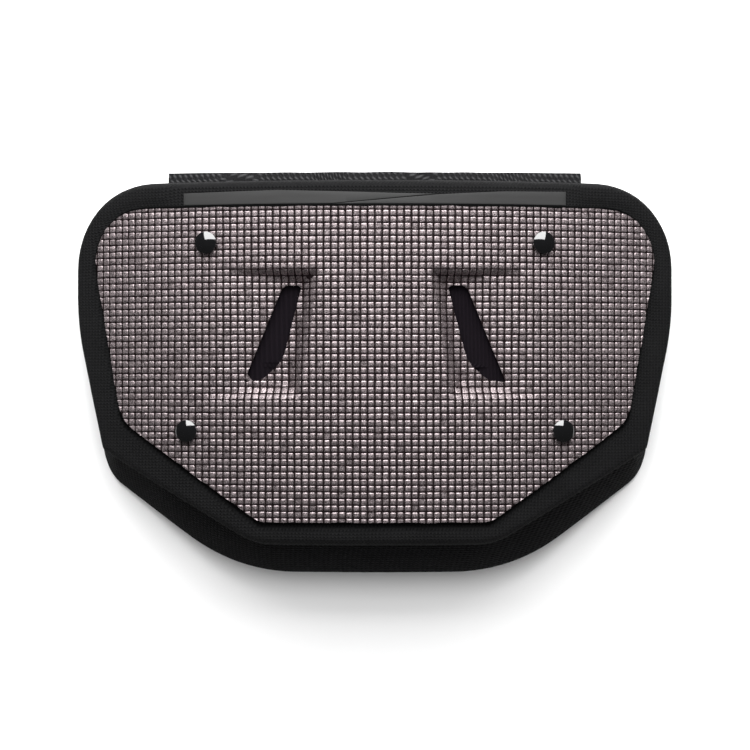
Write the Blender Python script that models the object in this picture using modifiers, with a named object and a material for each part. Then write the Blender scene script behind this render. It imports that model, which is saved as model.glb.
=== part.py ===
"""A football back plate, lying on its hollow side with its hard face up.

It is laid out flat, as its maker cuts it, and then formed round a back. In the flat layout u runs across
the back, v up the back and w out of the pad's front face. The form bends u round an upright cylinder.
World axes are metres: +X across, +Y up the back, +Z out of the back and up from the floor.
"""

import math

import bmesh
import bpy
from mathutils import Matrix, Vector

MM = 0.001

# The form that the flat layout is bent round.
form_radius = 381 * MM  # of the pad's front face, where w is zero
strip_width = 17 * MM  # of the flat strips that stand for the curve
touch_gap = 0.3 * MM  # between pieces that lie on each other

# The rim pad: the front tier of foam, whose edge shows all round the hard face.
rim_half_width = 166.8 * MM
rim_top = 102 * MM
rim_bottom = -89 * MM
rim_thickness = 13 * MM
rim_edge_round = 6 * MM
rim_top_corner = 45 * MM  # how far from the corner its rounding starts, as for every corner below
rim_waist_height = 25.7 * MM  # where the sides begin to lean in
rim_waist_corner = 15 * MM
rim_hip_half_width = 150.8 * MM
rim_hip_height = -40.5 * MM
rim_hip_corner = 6 * MM
rim_base_half_width = 64 * MM
rim_base_corner = 9 * MM

# The back pad: the rear tier of foam under mesh cloth, wider than the rim at the hips and the bottom.
back_thickness = 21.5 * MM  # halfway up: it is thicker below, so that its side edges lie level
back_edge_round = 6 * MM
back_seam_inset = 1.5 * MM  # its front outline lies this far inside the rim
back_top_drop = 2.7 * MM  # its rear top edge lies this far below the rim's
back_hip_flare = 11.2 * MM  # its rear hips stand out this far beyond the rim's
back_hip_drop = 15 * MM
back_hip_corner = 10 * MM
back_base_flare = 17 * MM
back_base_drop = 16.7 * MM
back_base_corner = 34 * MM
rest_flat = 1.2 * MM  # the foam pressed flat where the two side edges rest

# The hard shell and the textured face bonded on it.
shell_thickness = 2.6 * MM
shell_edge_round = 0.8 * MM
face_thickness = 0.8 * MM
face_inset = 1.4 * MM  # the shell shows this far beyond the face
face_top_margin = 14.7 * MM  # from the rim's outline in to the face's
face_side_margin = 11.1 * MM
face_hip_margin = 16.2 * MM
face_hip_rise = 16.5 * MM
face_base_margin = 4.1 * MM
face_bottom_margin = 12.7 * MM
face_top_corner = 33 * MM
face_hip_corner = 8 * MM
face_base_corner = 2.5 * MM

# The two vents: a slanted slot at the foot of a scoop that is pressed into the shell and the face.
vent_inner = 38.5 * MM  # from the middle to the slot's inner top corner
vent_top = 46 * MM
vent_length = 49.2 * MM
vent_width = 9 * MM
vent_lean = 19.8 * MM
vent_relief = 0.4 * MM  # the slot in the shell is wider than in the face
scoop_inner = 28.5 * MM  # from the middle to the scoop's inner top corner
scoop_above = 8.5 * MM  # from the slot's top up to the scoop's
scoop_below = 8.5 * MM
scoop_lean = 10.5 * MM
scoop_width = 48 * MM
scoop_depth = 6.5 * MM
scoop_inner_run = 9 * MM  # how far each wall runs in while it goes down by the depth
scoop_upper_run = 5 * MM
scoop_lower_run = 8 * MM

# Four rivets hold the shell to the rim pad.
rivet_head_radius = 5.2 * MM
rivet_head_height = 3.6 * MM
rivet_shank_radius = 2.4 * MM
rivet_shank_length = 9 * MM
rivet_hole_clearance = 0.5 * MM
rivet_sides = 20
rivet_upper_across = 87.7 * MM
rivet_upper_below_top = 33 * MM
rivet_lower_across = 98.3 * MM
rivet_lower_above_hip = 11.2 * MM

# Two smooth facing strips on the rim above the shell. The right one's tail crosses the left one.
facing_thickness = 0.8 * MM
facing_half_length = 101.4 * MM
facing_width = 7.2 * MM
facing_tail = 22 * MM  # how far the right strip's point passes the middle
facing_meeting = 33 * MM  # where the two upper edges meet

# The webbing across the back: bar-tacked at its middle and ends, with a strap tunnel on each side.
webbing_half_length = 125.6 * MM
webbing_width = 38 * MM
webbing_thickness = 2.2 * MM
webbing_above_rim = 7 * MM
tunnel_inner = 28 * MM
tunnel_width = 54 * MM
tunnel_gap = 9 * MM
tunnel_ramp = 8 * MM

# Levels through the layers, as distances out from the pad's front face.
shell_back = touch_gap
shell_front = shell_back + shell_thickness
face_back = shell_front + touch_gap
face_front = face_back + face_thickness
seam_level = -rim_thickness
back_front = seam_level - touch_gap
back_rear = back_front - back_thickness
webbing_front = back_rear - touch_gap

webbing_top = rim_top + webbing_above_rim
back_bottom = rim_bottom - back_base_drop
middle_height = (webbing_top + back_bottom) / 2

# The side edges lean in below the waist, and there the back pad is thicker by as much as the form would lift them.
side_angle = (rim_half_width - back_edge_round / 2) / form_radius
hip_below_waist = rim_waist_height - rim_hip_height + back_hip_drop
side_lean = (rim_half_width - rim_hip_half_width - back_hip_flare) / hip_below_waist
back_taper = side_lean * math.tan(side_angle) * (form_radius + back_rear) / form_radius

SEGMENTS = {"top": 8, "waist": 2, "hip": 4, "base": 4}


def material(name, colour, roughness, metallic=0.0):
    made = bpy.data.materials.new(name)
    made.use_nodes = True
    shader = made.node_tree.nodes["Principled BSDF"]
    shader.inputs["Base Color"].default_value = (*colour, 1)
    shader.inputs["Roughness"].default_value = roughness
    shader.inputs["Metallic"].default_value = metallic
    return made


def clear_scene():
    for obj in list(bpy.data.objects):
        bpy.data.objects.remove(obj)


def rear_level(v):
    """The level of the back pad's rear face at a height."""
    return back_rear + back_taper * (v - middle_height)


def edge_turns():
    """The quarter turn of the back pad's rounded edge, as (inset of the outline, height above the rear face)."""
    steps = 3
    turns = [math.radians(90) * step / steps for step in range(steps + 1)]
    return [(back_edge_round * (1 - math.cos(t)), back_edge_round * (1 - math.sin(t))) for t in turns]


def floor_depth():
    """How far the floor lies from the form's axis: where the waist's rounded edge is lowest, less the pressed flat."""
    lowest = min(
        (form_radius + rear_level(rim_waist_height) + above) * math.cos((rim_half_width - inwards) / form_radius)
        for inwards, above in edge_turns()
    )
    return lowest + rest_flat


def formed(u, v, w):
    """The point of the finished plate that a point of the flat layout becomes."""
    angle = u / form_radius
    radius = form_radius + w
    return Vector((radius * math.sin(angle), v - middle_height, radius * math.cos(angle) - floor_depth()))


def corner_arc(before, corner, after, reach, segments):
    """Points of the circular arc that rounds a corner, starting at reach from it."""
    into = (Vector(before) - Vector(corner)).normalized()
    out = (Vector(after) - Vector(corner)).normalized()
    start = Vector(corner) + into * reach
    end = Vector(corner) + out * reach
    half_turn = (math.pi - into.angle(out)) / 2
    points = []
    for step in range(segments + 1):
        along = step / segments
        turned = math.sin(half_turn * (2 * along - 1)) / math.sin(half_turn)
        sag = (math.cos(half_turn * (2 * along - 1)) - math.cos(half_turn)) / math.sin(half_turn)
        chord = (end - start) / 2
        middle = (start + end) / 2
        bulge = (Vector(corner) - middle).normalized() * chord.length
        points.append(middle + chord * turned + bulge * sag)
    return points


def rounded_outline(half):
    """A closed outline, mirrored at the middle, from the right half's corners: (u, v, reach, segments)."""
    path = [(0, half[0][1])] + [(u, v) for u, v, _, _ in half] + [(0, half[-1][1])]
    right = []
    for index, (u, v, reach, segments) in enumerate(half, start=1):
        right += corner_arc(path[index - 1], (u, v), path[index + 1], reach, segments)
    left = [Vector((-p.x, p.y)) for p in reversed(right)]
    return right + left


def inset(outline, distance):
    """The outline moved inwards. It runs clockwise, so its inner side is on the right of each edge."""
    count = len(outline)
    moved = []
    for index, point in enumerate(outline):
        along = (outline[(index + 1) % count] - outline[index - 1]).normalized()
        moved.append(point + Vector((along.y, -along.x)) * distance)
    return moved


def rim_outline():
    return rounded_outline([
        (rim_half_width, rim_top, rim_top_corner, SEGMENTS["top"]),
        (rim_half_width, rim_waist_height, rim_waist_corner, SEGMENTS["waist"]),
        (rim_hip_half_width, rim_hip_height, rim_hip_corner, SEGMENTS["hip"]),
        (rim_base_half_width, rim_bottom, rim_base_corner, SEGMENTS["base"]),
    ])


def back_outline():
    hip = rim_hip_half_width + back_hip_flare
    return rounded_outline([
        (rim_half_width, rim_top - back_top_drop, rim_top_corner, SEGMENTS["top"]),
        (rim_half_width, rim_waist_height, rim_waist_corner, SEGMENTS["waist"]),
        (hip, rim_hip_height - back_hip_drop, back_hip_corner, SEGMENTS["hip"]),
        (rim_base_half_width + back_base_flare, back_bottom, back_base_corner, SEGMENTS["base"]),
    ])


def face_outline(beyond=0.0):
    """The textured face's outline, or the shell's, which lies beyond it and has sharper corners."""
    sharper = beyond / face_inset if face_inset else 0
    hip = rim_hip_half_width - face_hip_margin
    corners = [
        (rim_half_width - face_side_margin, rim_top - face_top_margin, face_top_corner, SEGMENTS["top"]),
        (hip, rim_hip_height + face_hip_rise, face_hip_corner * (1 - sharper / 2), SEGMENTS["hip"]),
        (rim_base_half_width - face_base_margin, rim_bottom + face_bottom_margin,
         face_base_corner * (1 - sharper / 2), SEGMENTS["base"] // 2),
    ]
    return inset(rounded_outline(corners), -beyond)


def slab(name, outline, low, high):
    """A flat sheet between two levels, from a filled 2D curve that is extruded."""
    curve = bpy.data.curves.new(name, "CURVE")
    curve.dimensions = "2D"
    curve.fill_mode = "BOTH"
    curve.extrude = (high - low) / 2
    spline = curve.splines.new("POLY")
    spline.points.add(len(outline) - 1)
    for point, place in zip(spline.points, outline):
        point.co = (place[0], place[1], 0, 1)
    spline.use_cyclic_u = True
    drawn = bpy.data.objects.new(name + "_drawn", curve)
    drawn.location.z = (low + high) / 2
    bpy.context.scene.collection.objects.link(drawn)
    return as_mesh(drawn, name)


def as_mesh(source, name):
    """The evaluated object as one welded mesh object, with its place in its mesh. The source is removed."""
    bpy.context.view_layer.update()
    graph = bpy.context.evaluated_depsgraph_get()
    mesh = bpy.data.meshes.new_from_object(source.evaluated_get(graph))
    mesh.transform(source.matrix_world)
    bpy.data.objects.remove(source)
    mesh.name = name
    mesh.materials.clear()
    sheet = bmesh.new()
    sheet.from_mesh(mesh)
    bmesh.ops.remove_doubles(sheet, verts=sheet.verts, dist=0.001 * MM)
    bmesh.ops.recalc_face_normals(sheet, faces=sheet.faces)
    sheet.to_mesh(mesh)
    sheet.free()
    made = bpy.data.objects.new(name, mesh)
    bpy.context.scene.collection.objects.link(made)
    return made


def round_edges(obj, width, segments, level=None):
    """A Bevel on the edges of the outline at one level, or on all its sharp edges."""
    bevel = obj.modifiers.new("Rounded edge", "BEVEL")
    bevel.width = width
    bevel.segments = segments
    if level is None:
        bevel.limit_method = "ANGLE"
        bevel.angle_limit = math.radians(50)
        return
    bevel.limit_method = "WEIGHT"
    weights = obj.data.attributes.new("bevel_weight_edge", "FLOAT", "EDGE")
    for edge in obj.data.edges:
        ends = [obj.data.vertices[i].co.z for i in edge.vertices]
        if all(abs(z - level) < 0.01 * MM for z in ends):
            weights.data[edge.index].value = 1


def boolean(obj, other, operation):
    modifier = obj.modifiers.new(operation.title(), "BOOLEAN")
    modifier.operation = operation
    modifier.object = other


def form(obj, place, finish):
    """Cuts the flat piece into strips, bends it round the back and puts it in the plate's collection."""
    made = as_mesh(obj, obj.name)
    shape = bmesh.new()
    shape.from_mesh(made.data)
    strips = math.ceil(max(abs(v.co.x) for v in shape.verts) / strip_width)
    for index in range(-strips, strips + 1):
        everything = shape.verts[:] + shape.edges[:] + shape.faces[:]
        bmesh.ops.bisect_plane(
            shape, geom=everything, dist=0.005 * MM, plane_co=(index * strip_width, 0, 0), plane_no=(1, 0, 0)
        )
    bmesh.ops.triangulate(shape, faces=shape.faces)
    for vertex in shape.verts:
        vertex.co = formed(*vertex.co)
    shape.to_mesh(made.data)
    shape.free()
    bpy.context.scene.collection.objects.unlink(made)
    place.objects.link(made)
    made.data.materials.append(finish)
    made.data.shade_smooth()
    made.data.set_sharp_from_angle(angle=math.radians(30))
    return made


def scoop_solid(name, side, offset, cap):
    """The space of one vent's scoop, grown by offset past its walls and floor and closed at the cap level.

    It is a block that each wall's plane trims. Side is 1 for the right vent and -1 for the left.
    """
    top = vent_top + scoop_above
    bottom = vent_top - vent_length - scoop_below
    crest = Vector((scoop_inner, top, face_front))
    far = Vector((scoop_inner + scoop_width, top, face_front))
    down = Vector((scoop_lean, bottom - top, 0)).normalized()
    out = Vector((-down.y, down.x, 0))
    floor_slope = scoop_depth / (scoop_width - scoop_inner_run)
    planes = [
        (crest, Vector((-out.x, -out.y, -scoop_inner_run / scoop_depth))),
        (Vector((0, top, face_front)), Vector((0, 1, -scoop_upper_run / scoop_depth))),
        (Vector((0, bottom, face_front)), Vector((0, -1, -scoop_lower_run / scoop_depth))),
        (far, Vector((floor_slope * out.x, floor_slope * out.y, -1))),
    ]
    size = 4 * scoop_width + vent_length
    block = bmesh.new()
    bmesh.ops.create_cube(block, size=size)
    bmesh.ops.translate(block, verts=block.verts, vec=(scoop_inner, (top + bottom) / 2, cap - size / 2))
    for point, normal in planes:
        outward = normal.normalized()
        cut = bmesh.ops.bisect_plane(
            block, geom=block.verts[:] + block.edges[:] + block.faces[:], dist=0.001 * MM,
            plane_co=point + outward * offset, plane_no=outward, clear_outer=True,
        )
        rim = [e for e in cut["geom_cut"] if isinstance(e, bmesh.types.BMEdge)]
        bmesh.ops.contextual_create(block, geom=rim)
    bmesh.ops.scale(block, verts=block.verts, vec=(side, 1, 1))
    bmesh.ops.recalc_face_normals(block, faces=block.faces)
    mesh = bpy.data.meshes.new(name)
    block.to_mesh(mesh)
    block.free()
    return cutter(name, mesh)


def cutter(name, mesh):
    made = bpy.data.objects.new(name, mesh)
    cutters.objects.link(made)
    made.hide_render = True
    made.display_type = "WIRE"
    return made


def slot_cutter(name, side, wider):
    """The slanted slot, from the share of its width and of its length at each corner."""
    table = [
        # across, along, rounding
        (0.00, 0.00, 0.03),
        (1.00, 0.00, 0.05),
        (1.00, 1.00, 0.01),
        (-0.36, 0.95, 0.05),
        (-0.57, 0.75, 0.08),
    ]
    corners = []
    for across, along, rounding in table:
        u = vent_inner + vent_lean * along + vent_width * across
        corners.append((side * u, vent_top - vent_length * along, rounding * vent_length))
    outline = []
    for index, (u, v, reach) in enumerate(corners):
        after = corners[(index + 1) % len(corners)]
        outline += corner_arc(corners[index - 1][:2], (u, v), after[:2], reach, 3)
    if side < 0:
        outline.reverse()
    depth = scoop_depth + rim_thickness
    drawn = slab(name, inset(outline, -wider), face_front - depth, face_front + depth)
    mesh = drawn.data
    bpy.data.objects.remove(drawn)
    return cutter(name, mesh)


def rivet_places():
    upper = (rivet_upper_across, rim_top - rivet_upper_below_top)
    lower = (rivet_lower_across, rim_hip_height + rivet_lower_above_hip)
    return {
        "rivet_upper_left": (-upper[0], upper[1]),
        "rivet_upper_right": upper,
        "rivet_lower_left": (-lower[0], lower[1]),
        "rivet_lower_right": lower,
    }


def drill_rivet_holes(obj, low):
    """Round holes for the four shanks, from above the face down to a level."""
    for name, (u, v) in rivet_places().items():
        hole = bmesh.new()
        high = face_front + rivet_head_height
        bmesh.ops.create_cone(
            hole, cap_ends=True, segments=rivet_sides, depth=high - low,
            radius1=rivet_shank_radius + rivet_hole_clearance,
            radius2=rivet_shank_radius + rivet_hole_clearance,
            matrix=Matrix.Translation((u, v, (low + high) / 2)),
        )
        mesh = bpy.data.meshes.new(f"{obj.name}_{name}_hole")
        hole.to_mesh(mesh)
        hole.free()
        boolean(obj, cutter(mesh.name, mesh), "DIFFERENCE")


def make_rim_pad(place, finish):
    pad = slab("rim_pad", rim_outline(), seam_level, 0)
    round_edges(pad, rim_edge_round, 4, level=0)
    pocket = face_front - shell_back + touch_gap
    for side in (1, -1):
        boolean(pad, scoop_solid(f"pad_pocket_{side}", side, pocket, face_front), "DIFFERENCE")
    drill_rivet_holes(pad, -rivet_shank_length)
    form(pad, place, finish)


def make_back_pad(place, finish):
    """Foam lofted from its seam under the rim to the wider outline behind, whose edge is rounded."""
    rear = back_outline()
    foam = bmesh.new()
    rings = [[foam.verts.new((p.x, p.y, back_front)) for p in inset(rim_outline(), back_seam_inset)]]
    for inwards, above in edge_turns():
        rings.append([foam.verts.new((p.x, p.y, rear_level(p.y) + above)) for p in inset(rear, inwards)])
    foam.faces.new(rings[0])
    foam.faces.new(reversed(rings[-1]))
    for upper, lower in zip(rings, rings[1:]):
        for index in range(len(upper)):
            foam.faces.new((upper[index - 1], upper[index], lower[index], lower[index - 1]))
    bmesh.ops.recalc_face_normals(foam, faces=foam.faces)
    mesh = bpy.data.meshes.new("back_pad")
    foam.to_mesh(mesh)
    foam.free()
    flat = bpy.data.objects.new("back_pad", mesh)
    bpy.context.scene.collection.objects.link(flat)
    made = form(flat, place, finish)
    press_flat(made.data)


def press_flat(mesh):
    """Trims what would lie under the floor, so that the side edges rest on flats."""
    shape = bmesh.new()
    shape.from_mesh(mesh)
    cut = bmesh.ops.bisect_plane(
        shape, geom=shape.verts[:] + shape.edges[:] + shape.faces[:], dist=0.001 * MM,
        plane_co=(0, 0, 0), plane_no=(0, 0, -1), clear_outer=True,
    )
    rim = [e for e in cut["geom_cut"] if isinstance(e, bmesh.types.BMEdge)]
    bmesh.ops.edgenet_fill(shape, edges=rim)
    bmesh.ops.recalc_face_normals(shape, faces=shape.faces)
    shape.to_mesh(mesh)
    shape.free()


def make_front_shell(place, finish):
    shell = slab("front_shell", face_outline(face_inset), shell_back, shell_front)
    round_edges(shell, shell_edge_round, 2, level=shell_front)
    middle = (shell_back + shell_front) / 2
    for side in (1, -1):
        bulge = scoop_solid(f"shell_bulge_{side}", side, face_front - shell_back, middle)
        boolean(shell, bulge, "UNION")
    for side in (1, -1):
        hollow = face_front - shell_front
        boolean(shell, scoop_solid(f"shell_scoop_{side}", side, hollow, face_front), "DIFFERENCE")
        boolean(shell, slot_cutter(f"shell_slot_{side}", side, vent_relief), "DIFFERENCE")
    drill_rivet_holes(shell, shell_back - rivet_shank_length)
    form(shell, place, finish)


def make_textured_face(place, finish):
    face = slab("textured_face", face_outline(), face_back, face_front)
    middle = (face_back + face_front) / 2
    for side in (1, -1):
        bulge = scoop_solid(f"face_bulge_{side}", side, face_thickness, middle)
        boolean(face, bulge, "UNION")
    for side in (1, -1):
        scoop = scoop_solid(f"face_scoop_{side}", side, 0, face_front + face_thickness)
        boolean(face, scoop, "DIFFERENCE")
        boolean(face, slot_cutter(f"face_slot_{side}", side, 0), "DIFFERENCE")
    drill_rivet_holes(face, face_back - rivet_shank_length)
    form(face, place, finish)


def make_rivets(place, finish):
    """Each rivet is a domed head and a plain shank, turned about its own axis, which lies along the form's radius."""
    seat = face_front + touch_gap
    dome_steps = 5
    outline = []
    for step in range(dome_steps + 1):
        turn = math.radians(90) * step / dome_steps
        outline.append((rivet_head_radius * math.sin(turn), rivet_head_height * math.cos(turn)))
    outline.append((rivet_shank_radius, 0))
    outline.append((rivet_shank_radius, -seat - rivet_shank_length + rivet_hole_clearance))
    outline.append((0, outline[-1][1]))
    for name, (u, v) in rivet_places().items():
        profile = bmesh.new()
        verts = [profile.verts.new((r, 0, z)) for r, z in outline]
        for first, second in zip(verts, verts[1:]):
            profile.edges.new((first, second))
        mesh = bpy.data.meshes.new(name)
        profile.to_mesh(mesh)
        profile.free()
        rivet = bpy.data.objects.new(name, mesh)
        turned = rivet.modifiers.new("Turned", "SCREW")
        turned.steps = rivet_sides
        turned.render_steps = rivet_sides
        turned.use_merge_vertices = True
        turned.merge_threshold = 0.01 * MM
        rivet.location = formed(u, v, seat)
        rivet.rotation_euler = (0, u / form_radius, 0)
        mesh.materials.append(finish)
        place.objects.link(rivet)


def make_facing_strips(place, finish):
    """Two strips that butt along a slanting line, the left one's tail lying under the right one's."""
    low = rim_top - face_top_margin + face_inset + touch_gap
    high = low + facing_width
    meeting = high - facing_width / 3
    left = [
        (-facing_half_length, low), (-facing_half_length, high - facing_width / 8),
        (-facing_half_length / 2, high), (facing_meeting / 3, high - facing_width / 4),
        (facing_meeting - touch_gap, meeting + touch_gap), (-facing_tail - touch_gap, low),
    ]
    right = [
        (facing_half_length, low), (-facing_tail, low - touch_gap / 2), (facing_meeting, meeting),
        (facing_half_length * 2 / 3, high - facing_width / 16), (facing_half_length, high),
    ]
    for name, outline in (("facing_strip_left", left), ("facing_strip_right", right)):
        strip = slab(name, outline, touch_gap, touch_gap + facing_thickness)
        form(strip, place, finish)


def webbing_path():
    """How far the webbing stands off the back pad along its length, as (u, stand-off) of its right half."""
    outer = tunnel_inner + tunnel_width
    return [
        (0, 0), (tunnel_inner - tunnel_ramp / 2, 0), (tunnel_inner + tunnel_ramp / 2, tunnel_gap),
        (outer - tunnel_ramp / 2, tunnel_gap), (outer + tunnel_ramp / 2, 0), (webbing_half_length, 0),
    ]


def make_top_webbing(place, finish):
    """A band whose edge outline, drawn across u and w, is extruded up the back by the webbing's width."""
    right = webbing_path()
    path = [(-u, off) for u, off in reversed(right[1:])] + right
    near = [(u, webbing_front - off) for u, off in path]
    far = [(u, level - webbing_thickness) for u, level in near]
    outline = near + far[::-1]
    band = slab("top_webbing", outline, 0, webbing_width)
    at_the_top = rear_level(webbing_top) - back_rear
    upright = Matrix(((1, 0, 0, 0), (0, 0, -1, webbing_top), (0, 1, -back_taper, at_the_top), (0, 0, 0, 1)))
    band.data.transform(upright)
    form(band, place, finish)


clear_scene()
cutters = bpy.data.collections.new("cutters")
back_plate = bpy.data.collections.new("football_back_plate")
for collection in (cutters, back_plate):
    bpy.context.scene.collection.children.link(collection)

foam_skin = material("smooth black knit on foam", (0.022, 0.022, 0.023), 0.75)
mesh_cloth = material("black mesh cloth on foam", (0.010, 0.010, 0.012), 0.9)
hard_black = material("moulded black plastic", (0.008, 0.008, 0.009), 0.35)
silver_grid = material("silver grid texture", (0.30, 0.26, 0.26), 0.45, 0.4)
gloss_black = material("gloss black rivet", (0.004, 0.004, 0.005), 0.08)
grey_vinyl = material("smooth grey vinyl", (0.09, 0.09, 0.09), 0.5)
black_webbing = material("woven black webbing", (0.025, 0.025, 0.026), 0.85)

make_back_pad(back_plate, mesh_cloth)
make_rim_pad(back_plate, foam_skin)
make_front_shell(back_plate, hard_black)
make_textured_face(back_plate, silver_grid)
make_facing_strips(back_plate, grey_vinyl)
make_top_webbing(back_plate, black_webbing)
make_rivets(back_plate, gloss_black)
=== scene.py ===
import math

import bmesh
import bpy
import numpy as np
from mathutils import Matrix, Vector, noise


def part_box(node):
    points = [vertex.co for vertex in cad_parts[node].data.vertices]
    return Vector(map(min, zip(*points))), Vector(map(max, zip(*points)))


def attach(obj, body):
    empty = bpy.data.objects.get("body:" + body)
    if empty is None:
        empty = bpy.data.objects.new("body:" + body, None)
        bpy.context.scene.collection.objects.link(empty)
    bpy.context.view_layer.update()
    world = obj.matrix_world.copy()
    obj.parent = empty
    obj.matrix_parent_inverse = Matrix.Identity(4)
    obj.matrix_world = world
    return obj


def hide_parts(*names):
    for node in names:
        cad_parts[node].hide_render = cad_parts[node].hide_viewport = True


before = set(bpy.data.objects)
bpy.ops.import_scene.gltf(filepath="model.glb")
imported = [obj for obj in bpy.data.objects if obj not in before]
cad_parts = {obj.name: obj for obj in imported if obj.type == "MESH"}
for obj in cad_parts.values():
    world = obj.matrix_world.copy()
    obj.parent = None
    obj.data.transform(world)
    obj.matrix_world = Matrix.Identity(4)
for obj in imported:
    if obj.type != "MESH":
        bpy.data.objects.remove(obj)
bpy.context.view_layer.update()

# ---
# The rim pad is the front tier of foam, moulded to the back's curve and skinned in a fine black knit. Its edge
# rolls over all round, and under the vents it is pressed in and lined with ribbed cloth. Like every piece it is
# laid out flat in metres, u across, v up and w out of this pad's front, and then bent round an upright form.

MM = 0.001
form_radius = 381 * MM
face_front = 4 * MM
rim_top = 102 * MM
rim_bottom = -89 * MM
rim_half_width = 166.8 * MM
rim_waist = 25.7 * MM
rim_hip = (150.8 * MM, -40.5 * MM)
rim_base_half_width = 64 * MM
rim_thickness = 13 * MM
rim_roll = (4.2 * MM, 8 * MM)  # how far in from the edge it starts, how far down it ends
rim_pillow = 1.1 * MM
form_depth = form_radius + face_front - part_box("textured_face")[1][2]
form_middle = rim_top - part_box("rim_pad")[1][1]
pad_outline_points = 460


def formed_piece(name, mesh, *finishes):
    """A piece drawn flat: its flat places are kept as the layout that patterns follow, and it is bent round."""
    flat = np.empty(len(mesh.vertices) * 3)
    mesh.vertices.foreach_get("co", flat)
    mesh.attributes.new("layout", "FLOAT_VECTOR", "POINT").data.foreach_set("vector", flat)
    u, v, w = flat.reshape(-1, 3).T
    angle = u / form_radius
    reach = form_radius + w
    bent = np.stack([reach * np.sin(angle), v - form_middle, reach * np.cos(angle) - form_depth], 1)
    bent[:, 2] = np.maximum(bent[:, 2], 0)
    mesh.vertices.foreach_set("co", bent.ravel())
    mesh.materials.clear()
    for finish in finishes:
        mesh.materials.append(finish.material)
    mesh.polygons.foreach_set("material_index", np.zeros(len(mesh.polygons), np.int32))
    mesh.shade_smooth()
    mesh.update()
    piece = bpy.data.objects.new(name, mesh)
    bpy.context.scene.collection.objects.link(piece)
    return piece


def corner_arc(before, corner, after, reach, sides):
    """Points of the arc that rounds a corner, from reach before it to reach after it."""
    into = (Vector(before) - Vector(corner)).normalized()
    out = (Vector(after) - Vector(corner)).normalized()
    start = Vector(corner) + into * reach
    end = Vector(corner) + out * reach
    half_turn = (math.pi - into.angle(out)) / 2
    middle = (start + end) / 2
    chord = (end - start) / 2
    bulge = (Vector(corner) - middle).normalized() * chord.length
    points = []
    for step in range(sides + 1):
        turn = half_turn * (2 * step / sides - 1)
        sag = (math.cos(turn) - math.cos(half_turn)) / math.sin(half_turn)
        points.append(middle + chord * (math.sin(turn) / math.sin(half_turn)) + bulge * sag)
    return points


def mirrored_outline(half, sides=12):
    """A closed outline, clockwise from the top middle, from its right half's corners: (u, v, rounding)."""
    path = [(0, half[0][1])] + [corner[:2] for corner in half] + [(0, half[-1][1])]
    right = []
    for index, (u, v, reach) in enumerate(half, start=1):
        right += corner_arc(path[index - 1], (u, v), path[index + 1], reach, sides)
    left = [Vector((-p.x, p.y)) for p in reversed(right)]
    return [Vector(path[0])] + right + [Vector(path[-1])] + left


def evenly(outline, count):
    """The same closed outline with its points evenly spaced, from the same start."""
    points = np.array([tuple(p) for p in outline] + [tuple(outline[0])])
    along = np.concatenate([[0], np.cumsum(np.hypot(*np.diff(points, axis=0).T))])
    places = np.arange(count) / count * along[-1]
    return [Vector(p) for p in zip(np.interp(places, along, points[:, 0]), np.interp(places, along, points[:, 1]))]


def inset(outline, distance):
    """The outline moved inwards: it runs clockwise, so its inner side is on each edge's right."""
    moved = []
    for index, point in enumerate(outline):
        along = (outline[(index + 1) % len(outline)] - outline[index - 1]).normalized()
        moved.append(point + Vector((along.y, -along.x)) * distance)
    return moved


def lofted(name, rings):
    """A closed mesh through rings of as many points, the first and the last filled."""
    built = bmesh.new()
    rows = [[built.verts.new(point) for point in ring] for ring in rings]
    for upper, lower in zip(rows, rows[1:]):
        for index in range(len(upper)):
            built.faces.new((upper[index - 1], upper[index], lower[index], lower[index - 1]))
    built.faces.new(rows[0])
    built.faces.new(rows[-1][::-1])
    bmesh.ops.recalc_face_normals(built, faces=built.faces)
    mesh = bpy.data.meshes.new(name)
    built.to_mesh(mesh)
    built.free()
    return mesh


def filled_in(outline, rows, half_spine=60 * MM, spine_height=5 * MM):
    """Rings that close an outline towards a short line across its middle, outermost first."""
    rings = []
    for row in range(1, rows):
        share = row / rows
        ring = []
        for point in outline:
            target = Vector((max(-half_spine, min(half_spine, point.x / 2)), spine_height))
            ring.append(point.lerp(target, share))
        rings.append(ring)
    return rings


def rim_outline():
    return mirrored_outline([
        # u, v, how far from the corner its rounding starts
        (rim_half_width, rim_top, 45 * MM),
        (rim_half_width, rim_waist, 15 * MM),
        (*rim_hip, 2.5 * MM),
        (rim_base_half_width, rim_bottom, 9 * MM),
    ])


# The vents' scoops, pressed into every layer of the front alike. Each is a hollow between four slanting walls.
scoop_crest = Vector((28.5 * MM, 54.5 * MM))
scoop_foot = Vector((39 * MM, -11.7 * MM))
scoop_width = 48 * MM
scoop_depth = 6.5 * MM
scoop_runs = {"inner": 7.5 * MM, "upper": 6 * MM, "lower": 7 * MM}
scoop_softness = 1.2 * MM


def soft_min(a, b, softness):
    share = np.clip(0.5 + 0.5 * (b - a) / softness, 0, 1)
    return b * (1 - share) + a * share - softness * share * (1 - share)


def scoop_at(u, v):
    """How deep the scoops are at flat places."""
    down = (scoop_foot - scoop_crest).normalized()
    out = Vector((-down.y, down.x))
    past_crest = (np.abs(u) - scoop_crest.x) * out.x + (v - scoop_crest.y) * out.y
    floor = (scoop_width * out.x - past_crest) * scoop_depth / (scoop_width - scoop_runs["inner"])
    depth = soft_min(floor, past_crest * scoop_depth / scoop_runs["inner"], scoop_softness)
    depth = soft_min(depth, (scoop_crest.y - v) * scoop_depth / scoop_runs["upper"], scoop_softness)
    depth = soft_min(depth, (v - scoop_foot.y) * scoop_depth / scoop_runs["lower"], scoop_softness)
    return -soft_min(np.zeros_like(depth), -depth, scoop_softness)


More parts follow.
